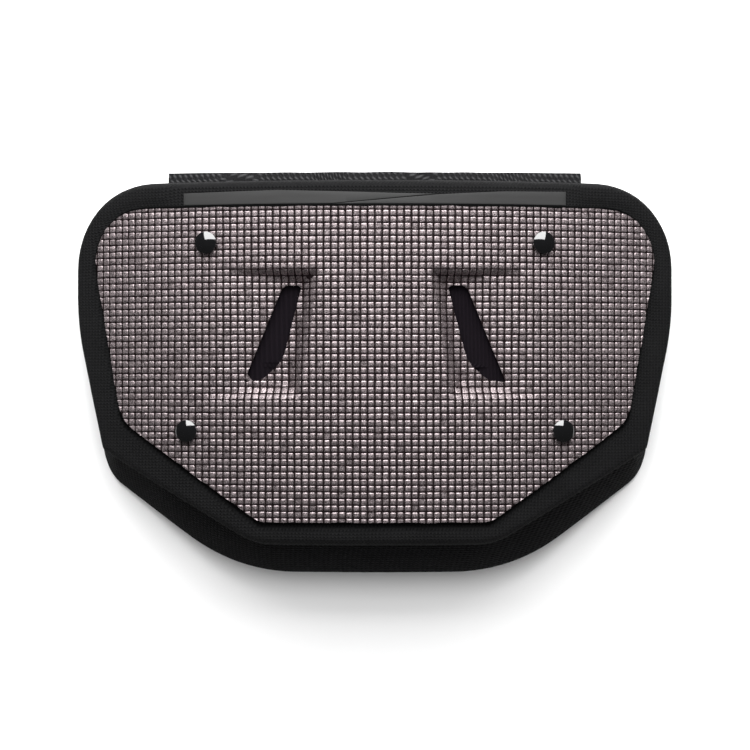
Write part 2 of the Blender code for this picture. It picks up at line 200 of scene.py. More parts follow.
def press_scoops(mesh, above=-1 * MM):
    """Presses the scoops into what lies above a level of a flat mesh."""
    flat = np.empty(len(mesh.vertices) * 3)
    mesh.vertices.foreach_get("co", flat)
    flat = flat.reshape(-1, 3)
    flat[:, 2] -= np.where(flat[:, 2] > above, scoop_at(flat[:, 0], flat[:, 1]), 0)
    mesh.vertices.foreach_set("co", flat.ravel())


class Measure:
    """A number that changes over a surface. Arithmetic on it adds Math nodes to its finish."""

    def __init__(self, finish, socket):
        self.finish = finish
        self.socket = socket

    def math(self, operation, first, second=0.0):
        return self.finish.node("ShaderNodeMath", {"operation": operation}, {0: first, 1: second})

    def __add__(self, other):
        return self.math("ADD", self, other)

    __radd__ = __add__

    def __mul__(self, other):
        return self.math("MULTIPLY", self, other)

    __rmul__ = __mul__

    def __sub__(self, other):
        return self.math("SUBTRACT", self, other)

    def __rsub__(self, other):
        return self.math("SUBTRACT", other, self)

    def __pow__(self, other):
        return self.math("POWER", self, other)

    def wave(self):
        return self.math("SINE", self)

    def above(self, level):
        return self.math("MAXIMUM", self, level)

    def size(self):
        return self.math("ABSOLUTE", self)


class Finish:
    """One material as it is built up round its shader."""

    def __init__(self, name, **constants):
        self.material = bpy.data.materials.new(name)
        self.material.use_nodes = True
        self.tree = self.material.node_tree
        self.shader = self.tree.nodes["Principled BSDF"]
        for socket, value in constants.items():
            self.shader.inputs[socket.replace("_", " ").title().replace("Ior", "IOR")].default_value = value

    def node(self, kind, settings, sockets, output=0):
        made = self.tree.nodes.new(kind)
        for key, value in settings.items():
            setattr(made, key, value)
        for key, value in sockets.items():
            self.join(value, made.inputs[key])
        return Measure(self, made.outputs[output])

    def join(self, value, socket):
        if isinstance(value, Measure):
            self.tree.links.new(value.socket, socket)
        elif isinstance(value, tuple) and len(value) == 3 and socket.type == "RGBA":
            socket.default_value = (*value, 1)
        else:
            socket.default_value = value

    def feed(self, **sockets):
        for socket, value in sockets.items():
            self.join(value, self.shader.inputs[socket.replace("_", " ").title()])

    def layout(self):
        return self.node("ShaderNodeAttribute", {"attribute_name": "layout"}, {}, "Vector")

    def measured(self, axis):
        """How far along a flat axis, counting the height too, so that a pattern goes on down a piece's side walls."""
        parts = self.layout()
        return self.node("ShaderNodeSeparateXYZ", {}, {0: parts}, axis) + self.node(
            "ShaderNodeSeparateXYZ", {}, {0: parts}, 2
        )

    def across(self):
        return self.measured(0)

    def up(self):
        return self.measured(1)

    def speckle(self, grain, detail=2.0, roughness=0.5, stretch=(1, 1, 1)):
        """Noise between 0 and 1, of a grain size in metres."""
        place = self.node("ShaderNodeVectorMath", {"operation": "MULTIPLY"}, {0: self.layout(), 1: stretch})
        sockets = {"Vector": place, "Scale": 1 / grain, "Detail": detail, "Roughness": roughness}
        return self.node("ShaderNodeTexNoise", {}, sockets)

    def blend(self, first, second, share):
        return self.node("ShaderNodeMix", {"data_type": "RGBA"}, {0: share, 6: first, 7: second}, 2)

    def relief(self, height, depth, strength=1.0):
        sockets = {"Height": height, "Distance": depth, "Strength": strength}
        return self.node("ShaderNodeBump", {}, sockets)


def knit_finish():
    """Fine tricot knit: upright wales of small slanted loops, with a little lint."""
    knit = Finish("fine black knit", roughness=0.82, specular_ior_level=0.06)
    wale = 1.9 * MM
    course = 1.6 * MM
    wales = (knit.across() * (2 * math.pi / wale)).wave()
    courses = (knit.up() * (2 * math.pi / course) + wales * 1.4).wave()
    loops = wales * 0.5 + courses * 0.5
    drift = knit.speckle(22 * MM, 3.0)
    lint = knit.speckle(0.9 * MM, 4.0, 0.75)
    shade = loops * 0.33 + (drift - 0.5) * 0.4 + (lint - 0.5) * 1.2 + 0.5
    knit.feed(
        base_color=knit.blend((0.0022, 0.0022, 0.0024), (0.0115, 0.0115, 0.0119), shade),
        roughness=0.72 + lint * 0.2,
        normal=knit.relief(loops * 0.6 + lint * 0.8, 0.35 * MM, 1.0),
    )
    return knit


def rib_finish():
    """The ribbed cloth that lines the vents' pockets."""
    ribbed = Finish("ribbed black lining", roughness=0.75, specular_ior_level=0.04)
    rib = 2.3 * MM
    ribs = (ribbed.across() * (2 * math.pi / rib)).wave()
    lint = ribbed.speckle(0.9 * MM, 3.0)
    ribbed.feed(
        base_color=ribbed.blend((0.0025, 0.0018, 0.0028), (0.0085, 0.006, 0.0085), ribs * 0.15 + lint * 0.75),
        roughness=0.6 + lint * 0.3,
        normal=ribbed.relief(ribs * 0.7 + lint * 0.5, 0.25 * MM, 0.7),
    )
    return ribbed


def face_corners(sharper=0.0):
    """The face's outline, which the shell keeps a little outside of."""
    return mirrored_outline([
        (rim_half_width - 10.0 * MM, rim_top - 14.7 * MM, 33 * MM),
        (rim_hip[0] - 15.1 * MM, rim_hip[1] + 16.5 * MM, 8 * MM * (1 - sharper)),
        (rim_base_half_width - 4.1 * MM, rim_bottom + 12.7 * MM, 2.5 * MM * (1 - sharper)),
    ], sides=8)


def pillow_round(mesh, outline, start=1.6 * MM, crest=6 * MM):
    """Swells the foam's front outside the shell, so that the shell lies pressed into it."""
    flat = np.empty(len(mesh.vertices) * 3)
    mesh.vertices.foreach_get("co", flat)
    flat = flat.reshape(-1, 3)
    edge = np.array([tuple(p) for p in evenly(outline, 900)])
    middle = np.array([0, 5 * MM])
    front = np.nonzero(flat[:, 2] > -3 * MM)[0]
    for part in np.array_split(front, 60):
        gaps = flat[part, None, :2] - edge[None]
        nearest = np.hypot(gaps[..., 0], gaps[..., 1]).argmin(1)
        away = flat[part, :2] - edge[nearest]
        outside = (away * (edge[nearest] - middle)).sum(1) > 0
        distance = np.where(outside, np.hypot(away[:, 0], away[:, 1]), 0)
        share = np.clip((distance - start) / (crest - start), 0, 1)
        beside_strips = np.clip((np.abs(flat[part, 0]) - 103 * MM) / (12 * MM), 0, 1)
        share = np.where(flat[part, 1] > 70 * MM, share * beside_strips, share)
        flat[part, 2] += rim_pillow * share * share * (3 - 2 * share)
    mesh.vertices.foreach_set("co", flat.ravel())


def rim_pad():
    outline = evenly(rim_outline(), pad_outline_points)
    across, down = rim_roll
    shoulder = inset(outline, across)
    rings = [(ring, 0) for ring in reversed(filled_in(shoulder, 60))]
    roll_steps = 8
    for step in range(roll_steps + 1):
        turn = math.radians(90) * step / roll_steps
        rings.append((inset(outline, across * (1 - math.sin(turn))), -down * (1 - math.cos(turn))))
    for tuck, level in ((0.0, -9.2), (0.1, -10.6), (0.5, -11.8), (1.2, -12.7), (2.2, -13.0)):
        rings.append((inset(outline, tuck * MM), level * MM))
    rings += [(ring, -rim_thickness) for ring in filled_in(inset(outline, 2.2 * MM), 8)]
    mesh = lofted("rim_pad_knit", [[(p.x, p.y, level) for p in ring] for ring, level in rings])
    for vertex in mesh.vertices:
        place = vertex.co
        soft = noise.noise(Vector((place.x, place.y, 0)) / (38 * MM))
        fine = noise.noise(Vector((place.x, place.y, place.z)) / (13 * MM))
        place.z += (0.35 * soft + 0.12 * fine) * MM - 0.1 * MM
    pillow_round(mesh, face_corners())
    press_scoops(mesh, above=-5 * MM)
    piece = formed_piece("rim_pad_knit", mesh, knit_finish(), rib_finish())
    lining_half_width = 95 * MM
    lining_height = (-25 * MM, 62 * MM)
    for face in mesh.polygons:
        u, v = face.center.x, face.center.y + form_middle
        if abs(u) < lining_half_width and lining_height[0] < v < lining_height[1]:
            face.material_index = 1
    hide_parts("rim_pad")
    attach(piece, "root")


rim_pad()

# ---
# The back pad is the rear tier of foam, which lies against the wearer. It is covered in a black mesh cloth, flares
# out below the rim at the hips and the bottom, and thickens downwards, so the plate rests level on its side edges.

back_thickness = 21.5 * MM
back_seam = -13.3 * MM
back_roll = 6 * MM
back_rear = back_seam - back_thickness
back_hip = (rim_hip[0] + 11.2 * MM, rim_hip[1] - 15 * MM)
back_base = (rim_base_half_width + 17 * MM, rim_bottom - 16.7 * MM)
hip_swell = 2.4 * MM  # how far the foam swells out past its cut at the hips


def back_taper():
    """How much the pad thickens for each step down, so that its leaning side edges lie level."""
    side_angle = (rim_half_width - back_roll / 2) / form_radius
    lean = (rim_half_width - back_hip[0]) / (rim_waist - back_hip[1])
    return lean * math.tan(side_angle) * (form_radius + back_rear) / form_radius


def rear_level(v):
    return back_rear + back_taper() * (v - form_middle)


def mesh_cloth_finish():
    """Warp-knit mesh cloth: staggered rows of small eyelets between rounded bars."""
    cloth = Finish("black mesh cloth", roughness=0.85, specular_ior_level=0.08)
    eyelet = 2.7 * MM
    turn = 2 * math.pi / eyelet
    along = cloth.across() * turn
    rise = cloth.up() * (turn * 0.577)
    eyelets = ((along + rise).wave() + (along - rise).wave() + (rise * 2).wave()) * 0.33
    lint = cloth.speckle(0.8 * MM, 3.0)
    drift = cloth.speckle(30 * MM)
    cloth.feed(
        base_color=cloth.blend(
            (0.0001, 0.0001, 0.0002), (0.0052, 0.0052, 0.006), eyelets * 0.9 + lint * 0.5 + drift * 0.3 - 0.05
        ),
        roughness=0.7 + lint * 0.25,
        normal=cloth.relief(eyelets + lint * 0.3, 0.45 * MM, 0.9),
    )
    return cloth


def back_pad():
    seam = inset(evenly(rim_outline(), pad_outline_points), 1.5 * MM)
    rear = evenly(mirrored_outline([
        (rim_half_width, rim_top - 2.7 * MM, 45 * MM),
        (rim_half_width + hip_swell, rim_waist, 15 * MM),
        (rim_half_width + hip_swell / 2, rim_hip[1] - 2 * MM, 4 * MM),
        (back_hip[0] + hip_swell / 4, back_hip[1], 8 * MM),
        (*back_base, 34 * MM),
    ]), pad_outline_points)
    rings = [[(p.x, p.y, back_seam) for p in ring] for ring in reversed(filled_in(seam, 8))]
    wall_steps = 9
    for step in range(wall_steps):
        share = step / wall_steps
        swell = 1.1 * MM * math.sin(math.pi * share)
        ring = inset([a.lerp(b, share) for a, b in zip(seam, rear)], -swell)
        rings.append([
            (p.x, p.y, back_seam + (rear_level(p.y) + back_roll - back_seam) * share) for p in ring
        ])
    roll_steps = 6
    for step in range(roll_steps + 1):
        turn = math.radians(90) * step / roll_steps
        rings.append([
            (p.x, p.y, rear_level(p.y) + back_roll * (1 - math.sin(turn)))
            for p in inset(rear, back_roll * (1 - math.cos(turn)))
        ])
    rings += [[(p.x, p.y, rear_level(p.y)) for p in ring] for ring in filled_in(inset(rear, back_roll), 40)]
    mesh = lofted("back_pad_cloth", rings)
    for vertex in mesh.vertices:
        place = vertex.co
        below_seam = max(0, min(1, (back_seam - place.z) / (6 * MM)))
        soft = noise.noise(Vector((place.x, place.y, place.z)) / (30 * MM))
        place.z += 0.4 * MM * soft * below_seam
    piece = formed_piece("back_pad_cloth", mesh, mesh_cloth_finish())
    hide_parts("back_pad")
    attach(piece, "root")


back_pad()

# ---
# A thin cord welt is sewn into the seam where the rim's knit meets the back pad's mesh cloth, all the way round.

class Tree:
    """A Geometry Nodes tree with named inputs, each node added with its settings and its sockets."""

    def __init__(self, name, inputs):
        self.group = bpy.data.node_groups.new(name, "GeometryNodeTree")
        self.group.interface.new_socket("Geometry", in_out="OUTPUT", socket_type="NodeSocketGeometry")
        self.identifiers = {}
        for label, kind in inputs.items():
            made = self.group.interface.new_socket(label, in_out="INPUT", socket_type=kind)
            self.identifiers[label] = made.identifier
        self.given = self.group.nodes.new("NodeGroupInput").outputs

    def node(self, kind, settings, sockets, output=0):
        made = self.group.nodes.new(kind)
        for key, value in settings.items():
            setattr(made, key, value)
        for key, value in sockets.items():
            if isinstance(value, bpy.types.NodeSocket):
                self.group.links.new(value, made.inputs[key])
            else:
                made.inputs[key].default_value = value
        return made.outputs[output]

    def mesh(self, carrier, result, **values):
        """The tree's result on a carrier object, as a plain mesh."""
        ending = self.group.nodes.new("NodeGroupOutput")
        self.group.links.new(result, ending.inputs[0])
        modifier = carrier.modifiers.new(self.group.name, "NODES")
        modifier.node_group = self.group
        for label, value in values.items():
            modifier[self.identifiers[label.replace("_", " ")]] = value
        bpy.context.view_layer.update()
        graph = bpy.context.evaluated_depsgraph_get()
        made = bpy.data.meshes.new_from_object(carrier.evaluated_get(graph))
        carrier.modifiers.remove(modifier)
        return made


def seam_welt():
    binding = Finish("welt binding", roughness=0.8, specular_ior_level=0.1)
    wrap = (binding.across() * (2 * math.pi / (1.4 * MM)) + binding.up() * (2 * math.pi / (1.4 * MM))).wave()
    lint = binding.speckle(0.8 * MM, 3.0)
    binding.feed(
        base_color=binding.blend((0.010, 0.010, 0.010), (0.038, 0.038, 0.039), wrap * 0.25 + lint * 0.8),
        roughness=0.7 + lint * 0.2,
        normal=binding.relief(wrap + lint * 0.4, 0.15 * MM, 0.7),
    )
    path = inset(evenly(rim_outline(), pad_outline_points), 0.1 * MM)
    line = bpy.data.meshes.new("welt path")
    count = len(path)
    line.from_pydata([(p.x, p.y, 0) for p in path], [(k, (k + 1) % count) for k in range(count)], [])
    carrier = bpy.data.objects.new("welt path", line)
    bpy.context.scene.collection.objects.link(carrier)
    tree = Tree("welt along the seam", {
        "Path": "NodeSocketGeometry", "Radius": "NodeSocketFloat", "Level": "NodeSocketFloat",
        "Sides": "NodeSocketInt", "Finish": "NodeSocketMaterial",
    })
    level = tree.node("ShaderNodeCombineXYZ", {}, {2: tree.given["Level"]})
    lowered = tree.node("GeometryNodeSetPosition", {}, {"Geometry": tree.given["Path"], "Offset": level})
    curve = tree.node("GeometryNodeMeshToCurve", {}, {0: lowered})
    profile = tree.node("GeometryNodeCurvePrimitiveCircle", {}, {
        "Resolution": tree.given["Sides"], "Radius": tree.given["Radius"],
    })
    cord = tree.node("GeometryNodeCurveToMesh", {}, {"Curve": curve, "Profile Curve": profile})
    real = tree.node("GeometryNodeRealizeInstances", {}, {0: cord})
    finished = tree.node("GeometryNodeSetMaterial", {}, {"Geometry": real, "Material": tree.given["Finish"]})
    mesh = tree.mesh(carrier, finished, Radius=0.65 * MM, Level=-12.7 * MM, Sides=10, Finish=binding.material)
    bpy.data.objects.remove(carrier)
    piece = formed_piece("seam_welt", mesh, binding)
    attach(piece, "root")


seam_welt()

# ---
# The front shell is a moulded black plastic plate, bent to the form. The face is bonded on it a little inside its
# edge, so it shows as a thin black line all round, and in the walls of the two slanted slots.

shell_levels = (0.3 * MM, 2.9 * MM)
shell_beyond_face = 1.4 * MM
sheet_step = 2.6 * MM


def slot_outline(side, wider=0.0):
    """The right slot for side 1, the left for -1: a slanting opening with a bulge at its lower inner corner."""
    top, length, width, inner, lean = 46 * MM, 49.2 * MM, 9 * MM, 38.5 * MM, 19.8 * MM
    shares = [
        # across, along, rounding
        (0.06, 0.00, 0.03), (1.00, 0.00, 0.05), (1.04, 1.00, 0.01), (0.15, 0.97, 0.04), (-0.42, 0.82, 0.05),
        (-0.50, 0.72, 0.04),
    ]
    corners = [(side * (inner + lean * b + width * a), top - length * b, r * length) for a, b, r in shares]
    points = []
    for index, (u, v, reach) in enumerate(corners):
        after = corners[(index + 1) % len(corners)]
        points += corner_arc(corners[index - 1][:2], (u, v), after[:2], reach, 5)
    return inset(points if side > 0 else points[::-1], -wider)


def ruled_sheet(name, outlines, low, high, step, edge_round=0.0):
    """A flat sheet between two levels with holes in it, ruled into small squares so that it can be bent."""
    curve = bpy.data.curves.new(name, "CURVE")
    curve.dimensions = "2D"
    curve.fill_mode = "BOTH"
    curve.extrude = (high - low) / 2
    for outline in outlines:
        spline = curve.splines.new("POLY")
        spline.points.add(len(outline) - 1)
        for point, place in zip(spline.points, outline):
            point.co = (place.x, place.y, 0, 1)
        spline.use_cyclic_u = True
    drawn = bpy.data.objects.new(name, curve)
    bpy.context.scene.collection.objects.link(drawn)
    bpy.context.view_layer.update()
    mesh = bpy.data.meshes.new_from_object(drawn.evaluated_get(bpy.context.evaluated_depsgraph_get()))
    bpy.data.objects.remove(drawn)
    mesh.transform(Matrix.Translation((0, 0, (low + high) / 2)))
    sheet = bmesh.new()
    sheet.from_mesh(mesh)
    bmesh.ops.remove_doubles(sheet, verts=sheet.verts, dist=0.001 * MM)
    bmesh.ops.dissolve_limit(sheet, angle_limit=0.001, verts=sheet.verts, edges=sheet.edges)
    bmesh.ops.recalc_face_normals(sheet, faces=sheet.faces)
    if edge_round:
        rim = [e for e in sheet.edges if e.calc_face_angle(0) > 1 and min(p.co.z for p in e.verts) > high - 0.01 * MM]
        bmesh.ops.bevel(sheet, geom=rim, offset=edge_round, segments=3, affect="EDGES", profile=0.5)
    reach = [max(abs(v.co[axis]) for v in sheet.verts) for axis in (0, 1)]
    for axis in (0, 1):
        normal = Vector((1 - axis, axis, 0))
        lines = int(reach[axis] / step)
        for line in range(-lines, lines + 1):
            everything = sheet.verts[:] + sheet.edges[:] + sheet.faces[:]
            bmesh.ops.bisect_plane(
                sheet, geom=everything, dist=0.01 * MM, plane_co=normal * (line * step), plane_no=normal
            )
    bmesh.ops.triangulate(sheet, faces=[f for f in sheet.faces if len(f.verts) > 4])
    sheet.to_mesh(mesh)
    sheet.free()
    return mesh


def sharpened(piece, degrees=40):
    piece.data.set_sharp_from_angle(angle=math.radians(degrees))


def front_shell():
    plastic = Finish("moulded black plastic", roughness=0.7, specular_ior_level=0.01)
    grain = plastic.speckle(0.5 * MM, 3.0, 0.6)
    scuffs = plastic.speckle(6 * MM, 4.0, 0.6, (1, 4, 1))
    plastic.feed(
        base_color=plastic.blend((0.0008, 0.0008, 0.0008), (0.0025, 0.0025, 0.0026), scuffs),
        roughness=0.5 + grain * 0.25,
        normal=plastic.relief(grain, 0.05 * MM, 0.5),
    )
    outlines = [inset(face_corners(0.5), -shell_beyond_face)]
    outlines += [slot_outline(side, 1.0 * MM) for side in (1, -1)]
    mesh = ruled_sheet("front_shell_plate", outlines, *shell_levels, sheet_step, edge_round=0.8 * MM)
    press_scoops(mesh)
    piece = formed_piece("front_shell_plate", mesh, plastic)
    sharpened(piece)
    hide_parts("front_shell")
    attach(piece, "root")


front_shell()

# ---
# The textured face is a thin silver-grey sheet with small raised cells in straight rows, darker between them. It is
# cut to the shell's outline and pressed down with it into the scoops. The cells are cut off at its edges.

face_levels = (3.2 * MM, 3.5 * MM)
cell_pitch = (3.76 * MM, 3.40 * MM)
cell_cover = (0.84, 0.90)
cell_height = 0.62 * MM


def cell_shape():
    """One cell, a pillow on a unit square: its walls lean, its corners are rounded and its top is crowned."""
    profile = [
        # share of the half width, share of the height
        (1.0, 0.0), (0.85, 0.80), (0.48, 1.0),
    ]
    stations = [(-s, h) for s, h in profile] + [(s, h) for s, h in reversed(profile)]
    built = bmesh.new()
    grid = []
    for across, rise in stations:
        row = []
        for up, lift in stations:
            rounding = 1 - 0.13 * (across * up) ** 4
            row.append(built.verts.new((across * rounding / 2, up * rounding / 2, min(rise, lift))))
        grid.append(row)
    for i in range(len(grid) - 1):
        for j in range(len(grid) - 1):
            built.faces.new((grid[i][j], grid[i + 1][j], grid[i + 1][j + 1], grid[i][j + 1]))
    mesh = bpy.data.meshes.new("cell")
    built.to_mesh(mesh)
    built.free()
    # The ring round each cell's shoulder is marked for a painted highlight: its finish is lighter in colour there, and
    # more metallic and glossier.
    painted_highlight_ring = [float(v.co.z > 0.7 and max(abs(v.co.x), abs(v.co.y)) > 0.3) for v in mesh.vertices]
    mesh.attributes.new("painted_highlight_ring", "FLOAT", "POINT").data.foreach_set("value", painted_highlight_ring)
    cell = bpy.data.objects.new("cell", mesh)
    bpy.context.scene.collection.objects.link(cell)
    return cell


def cells_on(sheet, cell, finish):
    """Rows of cells over a flat sheet, each a little different, pulled in to its edge where they pass it."""
    tree = Tree("raised cells", {
        "Sheet": "NodeSocketGeometry", "Cell": "NodeSocketObject",
        "Pitch across": "NodeSocketFloat", "Pitch up": "NodeSocketFloat", "Cover across": "NodeSocketFloat",
        "Cover up": "NodeSocketFloat", "Height": "NodeSocketFloat", "Level": "NodeSocketFloat",
        "Columns": "NodeSocketInt", "Rows": "NodeSocketInt", "Shift up": "NodeSocketFloat",
        "Unevenness": "NodeSocketFloat", "Roughened edges": "NodeSocketFloat", "Finish": "NodeSocketMaterial",
    })
    given = tree.given

    def math_node(operation, first, second=0.0):
        return tree.node("ShaderNodeMath", {"operation": operation}, {0: first, 1: second})

    def uneven(seed, low, high):
        return tree.node("FunctionNodeRandomValue", {}, {"Min": low, "Max": high, "Seed": seed}, 1)

    def random_vector(seed, reach):
        return tree.node(
            "FunctionNodeRandomValue", {"data_type": "FLOAT_VECTOR"},
            {0: tuple(-r for r in reach), 1: tuple(reach), "Seed": seed},
        )

    sheet_shape = given["Sheet"]
    cell_mesh = tree.node("GeometryNodeObjectInfo", {}, {"Object": given["Cell"]}, "Geometry")
    grid = tree.node("GeometryNodeMeshGrid", {}, {
        "Size X": math_node("MULTIPLY", given["Pitch across"], math_node("SUBTRACT", given["Columns"], 1.0)),
        "Size Y": math_node("MULTIPLY", given["Pitch up"], math_node("SUBTRACT", given["Rows"], 1.0)),
        "Vertices X": given["Columns"], "Vertices Y": given["Rows"],
    })
    wander = tree.node("ShaderNodeVectorMath", {"operation": "SCALE"}, {
        0: random_vector(3, (1, 1, 0)), "Scale": given["Unevenness"],
    })
    raised = tree.node("ShaderNodeCombineXYZ", {}, {1: given["Shift up"], 2: given["Level"]})
    placed = tree.node("GeometryNodeSetPosition", {}, {
        "Geometry": grid, "Offset": tree.node("ShaderNodeVectorMath", {"operation": "ADD"}, {0: wander, 1: raised}),
    })
    far = tree.node("GeometryNodeProximity", {"target_element": "FACES"}, {0: sheet_shape}, "Distance")
    off_the_sheet = tree.node("FunctionNodeCompare", {"operation": "GREATER_THAN"}, {
        0: far, 1: math_node("MULTIPLY", given["Pitch up"], 0.44),
    })
    kept = tree.node("GeometryNodeDeleteGeometry", {"domain": "POINT"}, {0: placed, 1: off_the_sheet})
    scale = tree.node("ShaderNodeCombineXYZ", {}, {
        0: math_node("MULTIPLY", math_node("MULTIPLY", given["Pitch across"], given["Cover across"]), uneven(5, 0.97, 1.03)),
        1: math_node("MULTIPLY", math_node("MULTIPLY", given["Pitch up"], given["Cover up"]), uneven(7, 0.97, 1.03)),
        2: math_node("MULTIPLY", given["Height"], uneven(11, 0.82, 1.12)),
    })
    turned = tree.node("FunctionNodeEulerToRotation", {}, {0: random_vector(13, (0.01, 0.01, 0.015))})
    cells = tree.node("GeometryNodeInstanceOnPoints", {}, {
        "Points": kept, "Instance": cell_mesh, "Rotation": turned, "Scale": scale,
    })
    toned = tree.node("GeometryNodeStoreNamedAttribute", {"domain": "INSTANCE"}, {
        "Geometry": cells, "Name": "tone", "Value": uneven(17, 0.0, 1.0),
    })
    real = tree.node("GeometryNodeRealizeInstances", {}, {0: toned})
    grain = tree.node("ShaderNodeTexNoise", {"noise_dimensions": "3D"}, {"Scale": 1 / (1.3 * MM), "Detail": 1.0}, "Color")
    about_zero = tree.node("ShaderNodeVectorMath", {"operation": "SUBTRACT"}, {0: grain, 1: (0.5, 0.5, 0.5)})
    nudge = tree.node("ShaderNodeVectorMath", {"operation": "SCALE"}, {0: about_zero, "Scale": given["Roughened edges"]})
    real = tree.node("GeometryNodeSetPosition", {}, {"Geometry": real, "Offset": nudge})
    place = tree.node("GeometryNodeInputPosition", {}, {})
    nearest = tree.node("GeometryNodeProximity", {"target_element": "FACES"}, {0: sheet_shape}, "Position")
    here = tree.node("ShaderNodeSeparateXYZ", {}, {0: place}, 2)
    pulled = tree.node("ShaderNodeCombineXYZ", {}, {
        0: tree.node("ShaderNodeSeparateXYZ", {}, {0: nearest}, 0),
        1: tree.node("ShaderNodeSeparateXYZ", {}, {0: nearest}, 1),
        2: here,
    })
    cut = tree.node("GeometryNodeSetPosition", {}, {"Geometry": real, "Position": pulled})
    finished = tree.node("GeometryNodeSetMaterial", {}, {"Geometry": cut, "Material": given["Finish"]})
    return tree.mesh(
        sheet, finished, Cell=cell, Pitch_across=cell_pitch[0], Pitch_up=cell_pitch[1],
        Cover_across=cell_cover[0], Cover_up=cell_cover[1], Height=cell_height, Level=face_levels[1],
        Columns=86, Rows=52, Shift_up=0.6 * MM, Unevenness=0.06 * MM, Roughened_edges=0.4 * MM,
        Finish=finish.material,
    )


def cell_finish():
    """Silvery moulded cells: warm grey with a soft metallic sheen, mottled, each one its own tone, with a painted
    highlight lightening each cell's shoulder.
    """
    silver = Finish("silver cells", metallic=0.9, roughness=0.42)
    painted_highlight_ring = silver.node("ShaderNodeAttribute", {"attribute_name": "painted_highlight_ring"}, {}, "Fac")
    tone = silver.node("ShaderNodeAttribute", {"attribute_name": "tone"}, {}, "Fac")
    flakes = silver.speckle(0.5 * MM, 2.0, 0.65)
    drift = silver.speckle(25 * MM)
    # The shoulder ring is lightened in colour as a painted highlight along each cell's edges. It is also made more
    # metallic and glossier.
    share = (flakes - 0.5) * 3.6 + (tone - 0.5) * 0.15 + (drift - 0.5) * 0.15 + painted_highlight_ring * 0.25 + 0.38
    silver.feed(
        base_color=silver.blend((0.058, 0.046, 0.048), (0.54, 0.462, 0.474), share),
        metallic=0.7 + painted_highlight_ring * 0.25,
        roughness=0.5 + flakes * 0.1 - painted_highlight_ring * 0.14,
        normal=silver.relief(flakes, 0.14 * MM, 0.8),
    )
    return silver


def hand_trimmed(outline, reach, wavelength=11 * MM):
    """The outline with the slight waver of an edge trimmed by hand."""
    trimmed = []
    for point, far_inside in zip(outline, inset(outline, 1)):
        waver = noise.noise(Vector((point.x, point.y, 0)) / wavelength) - 0.2
        trimmed.append(point.lerp(far_inside, reach * waver))
    return trimmed


def textured_face():
    gap = Finish("dark ground between the cells", roughness=0.8, specular_ior_level=0.03)
    grime = gap.speckle(1.5 * MM)
    gap.feed(base_color=gap.blend((0.004, 0.0024, 0.0026), (0.012, 0.0075, 0.008), grime), roughness=0.6 + grime * 0.3)
    outlines = [hand_trimmed(evenly(face_corners(), 420), 0.45 * MM)]
    outlines += [slot_outline(side, 0.6 * MM) for side in (1, -1)]
    flat = ruled_sheet("textured_face_ground", outlines, *face_levels, sheet_step)
    sheet = bpy.data.objects.new("flat sheet", flat)
    bpy.context.scene.collection.objects.link(sheet)
    cell = cell_shape()
    silver = cell_finish()
    cells = cells_on(sheet, cell, silver)
    bpy.data.objects.remove(cell)
    bpy.data.objects.remove(sheet)
    for name, mesh, finish in (("textured_face_ground", flat, gap), ("textured_face_cells", cells, silver)):
        press_scoops(mesh)
        piece = formed_piece(name, mesh, finish)
        sharpened(piece, 60)
        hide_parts("textured_face")
        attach(piece, "root")


textured_face()

# ---
# The two facing strips are cut from smooth grey vinyl and bonded on the rim above the shell. The right one's tail
# crosses the left one, so they meet along a slanting line.

def facing_strips():
    vinyl = Finish("smooth grey vinyl", roughness=0.5, specular_ior_level=0.12)
    pebble = vinyl.speckle(0.6 * MM, 3.0, 0.6)
    streaks = vinyl.speckle(12 * MM, 3.0, 0.5, (0.3, 2, 1))
    vinyl.feed(
        base_color=vinyl.blend((0.020, 0.020, 0.020), (0.032, 0.032, 0.032), streaks),
        roughness=0.42 + pebble * 0.2,
        normal=vinyl.relief(pebble, 0.04 * MM, 0.4),
    )
    low = rim_top - 14.7 * MM + shell_beyond_face + 0.3 * MM
    high = low + 7.2 * MM
    half, tail, meeting, gap = 101.4 * MM, 22 * MM, 33 * MM, 0.3 * MM
    outlines = {
        "facing_strip_left": [
            (-half, low), (-half, high - 0.9 * MM), (-half / 2, high), (meeting / 3, high - 1.8 * MM),
            (meeting - gap, high - 2.1 * MM), (-tail - gap, low),
        ],
        "facing_strip_right": [
            (half, low), (-tail, low - gap / 2), (meeting, high - 2.4 * MM),
            (half * 2 / 3, high - 0.45 * MM), (half, high),
        ],
    }
    for node, outline in outlines.items():
        mesh = ruled_sheet(node, [[Vector(p) for p in outline]], 0.3 * MM, 1.1 * MM, 3 * MM, edge_round=0.25 * MM)
        piece = formed_piece(node + "_vinyl", mesh, vinyl)
        sharpened(piece, 50)
        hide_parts(node)
        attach(piece, "root")


facing_strips()

# ---
# Four domed rivets of polished black plastic hold the face and the shell to the pad. Each head is a low dome that
# rolls in at its foot, turned about its own axis.

rivet_places = [(87.7 * MM, rim_top - 33 * MM), (98.3 * MM, rim_hip[1] + 11.2 * MM)]


